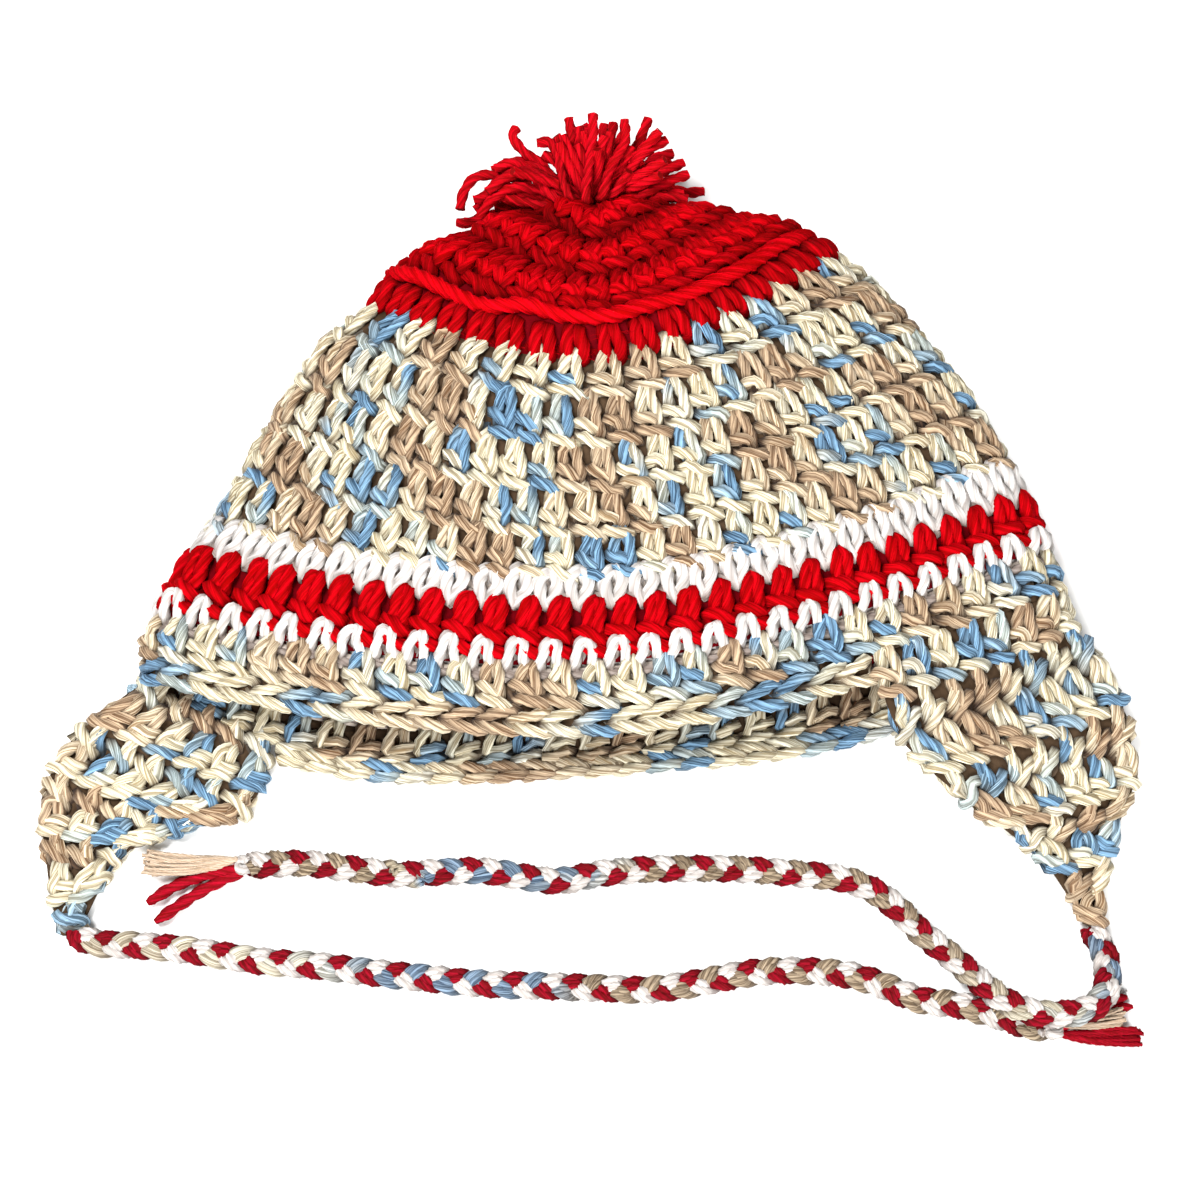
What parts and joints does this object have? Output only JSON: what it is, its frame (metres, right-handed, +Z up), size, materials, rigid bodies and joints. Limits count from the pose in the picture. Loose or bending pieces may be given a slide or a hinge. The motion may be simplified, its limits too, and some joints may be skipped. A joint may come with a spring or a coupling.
{
  "type": "crochet earflap cap",
  "caption": "Hand-crocheted knit cap lying flat: domed crown with a pompom, striped band, two earflaps and two braided ties.",
  "frame": {"origin": "bottom centre of the cap's own box, ties left out, on the surface that the cap lies on", "axes": "+X across the cap from fold to fold, +Y from the brim to the pompom, +Z up from the lower layer to the upper layer"},
  "size_m": [0.2964, 0.259, 0.0519],
  "materials": {
    "red_yarn": "slightly fuzzy plied acrylic yarn, bright red",
    "white_yarn": "soft plied acrylic yarn, white",
    "tweed_yarn": "plied acrylic yarn that changes from cream to tan to pale blue along its length",
    "braid_yarn": "flat braid of red, white and colour-changing yarn"
  },
  "bodies": {
    "root": {"crown_red": "red_yarn", "body_tweed": "tweed_yarn", "white_round_upper": "white_yarn", "red_band": "red_yarn", "white_round_lower": "white_yarn", "brim_tweed": "tweed_yarn", "edging_front": "tweed_yarn", "edging_back": "tweed_yarn", "earflap_left": "tweed_yarn", "earflap_right": "tweed_yarn", "pompom": "red_yarn", "tie_left": "braid_yarn", "tie_right": "braid_yarn", "tie_left_ends": "braid_yarn", "tie_right_ends": "braid_yarn"}
  },
  "joints": []
}
